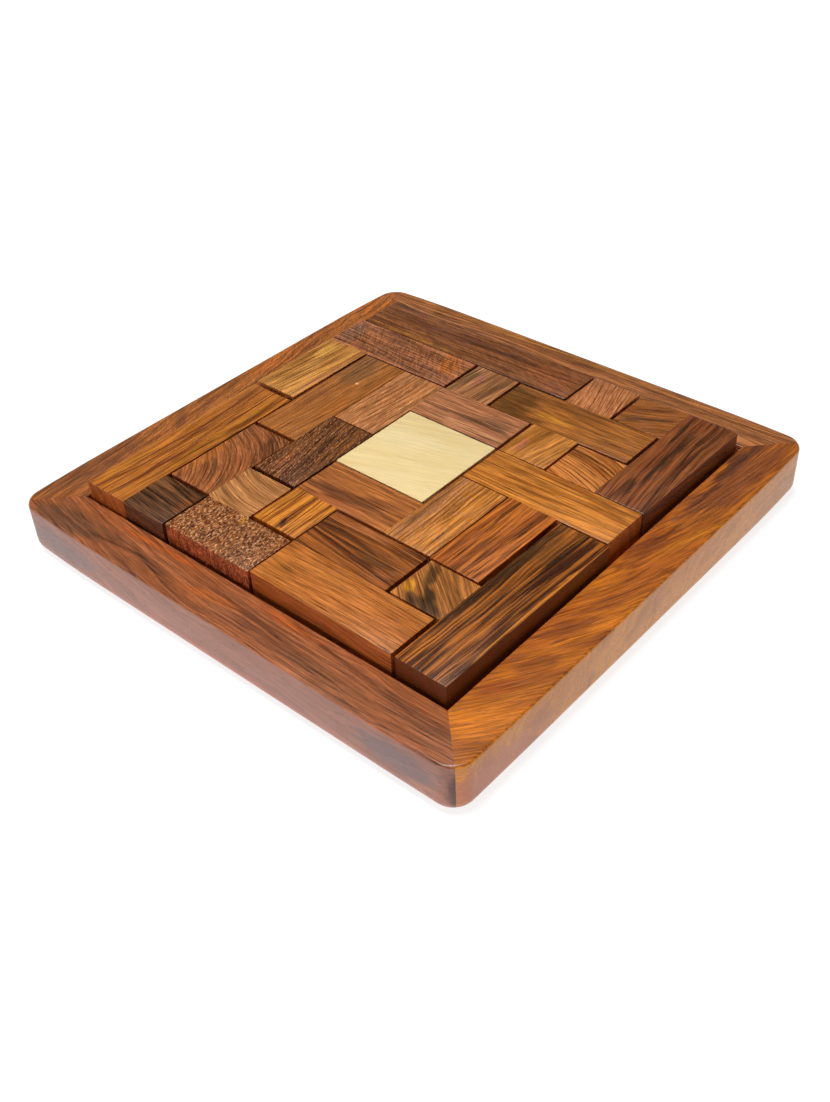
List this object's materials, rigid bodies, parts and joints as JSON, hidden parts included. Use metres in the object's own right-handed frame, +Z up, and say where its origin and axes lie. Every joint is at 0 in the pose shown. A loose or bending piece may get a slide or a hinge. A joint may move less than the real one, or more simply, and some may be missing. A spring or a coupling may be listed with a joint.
{
  "type": "pentomino packing puzzle",
  "caption": "Wooden packing puzzle: glued-up hardwood pieces made of square cells stand edge to edge in a square mitred tray and lift out of it.",
  "frame": {"origin": "centre of the tray on the surface it stands on", "axes": "+Z up; the cell grid runs along +X (to the right) and +Y (to the back), and the long golden bar of the L piece lies at the back left"},
  "size_m": [0.2032, 0.2032, 0.0268],
  "materials": {
    "golden_sheesham": "satin varnish",
    "brown_sheesham": "satin varnish",
    "dark_sheesham": "satin varnish",
    "red_sheesham": "satin varnish",
    "tan_wood": "satin varnish",
    "pale_wood": "satin varnish",
    "panel_wood": "plain"
  },
  "bodies": {
    "tray": {"rail_front": "golden_sheesham", "rail_right": "brown_sheesham", "rail_back": "red_sheesham", "rail_left": "red_sheesham", "base_panel": "panel_wood"},
    "piece_i": {"i_bar": "dark_sheesham"},
    "piece_x": {"x_bar": "brown_sheesham", "x_left_arm": "golden_sheesham", "x_right_arm": "tan_wood"},
    "piece_u": {"u_bar": "dark_sheesham", "u_left_arm": "golden_sheesham", "u_right_arm": "golden_sheesham"},
    "piece_t": {"t_bar": "golden_sheesham", "t_stem": "golden_sheesham"},
    "piece_y": {"y_bar": "brown_sheesham", "y_arm": "golden_sheesham"},
    "piece_p": {"p_bar": "golden_sheesham", "p_block": "brown_sheesham"},
    "piece_z": {"z_stem": "red_sheesham", "z_foot": "golden_sheesham", "z_head": "golden_sheesham"},
    "piece_f": {"f_stem": "red_sheesham", "f_arm": "brown_sheesham", "f_head": "tan_wood"},
    "piece_n": {"n_long_bar": "brown_sheesham", "n_short_bar": "dark_sheesham"},
    "piece_w": {"w_lower": "brown_sheesham", "w_middle": "tan_wood", "w_upper": "red_sheesham"},
    "piece_l": {"l_bar": "golden_sheesham", "l_foot": "dark_sheesham"},
    "piece_v": {"v_bar": "red_sheesham", "v_arm": "tan_wood"},
    "piece_square": {"square_block": "pale_wood"}
  },
  "joints": [
    {"name": "lift_i", "type": "slide", "parent": "tray", "child": "piece_i", "axis": [0, 0, 1], "range_m": [0, 0.03]},
    {"name": "lift_x", "type": "slide", "parent": "tray", "child": "piece_x", "axis": [0, 0, 1], "range_m": [0, 0.03]},
    {"name": "lift_u", "type": "slide", "parent": "tray", "child": "piece_u", "axis": [0, 0, 1], "range_m": [0, 0.03]},
    {"name": "lift_t", "type": "slide", "parent": "tray", "child": "piece_t", "axis": [0, 0, 1], "range_m": [0, 0.03]},
    {"name": "lift_y", "type": "slide", "parent": "tray", "child": "piece_y", "axis": [0, 0, 1], "range_m": [0, 0.03]},
    {"name": "lift_p", "type": "slide", "parent": "tray", "child": "piece_p", "axis": [0, 0, 1], "range_m": [0, 0.03]},
    {"name": "lift_z", "type": "slide", "parent": "tray", "child": "piece_z", "axis": [0, 0, 1], "range_m": [0, 0.03]},
    {"name": "lift_f", "type": "slide", "parent": "tray", "child": "piece_f", "axis": [0, 0, 1], "range_m": [0, 0.03]},
    {"name": "lift_n", "type": "slide", "parent": "tray", "child": "piece_n", "axis": [0, 0, 1], "range_m": [0, 0.03]},
    {"name": "lift_w", "type": "slide", "parent": "tray", "child": "piece_w", "axis": [0, 0, 1], "range_m": [0, 0.03]},
    {"name": "lift_l", "type": "slide", "parent": "tray", "child": "piece_l", "axis": [0, 0, 1], "range_m": [0, 0.03]},
    {"name": "lift_v", "type": "slide", "parent": "tray", "child": "piece_v", "axis": [0, 0, 1], "range_m": [0, 0.03]},
    {"name": "lift_square", "type": "slide", "parent": "tray", "child": "piece_square", "axis": [0, 0, 1], "range_m": [0, 0.03]}
  ]
}
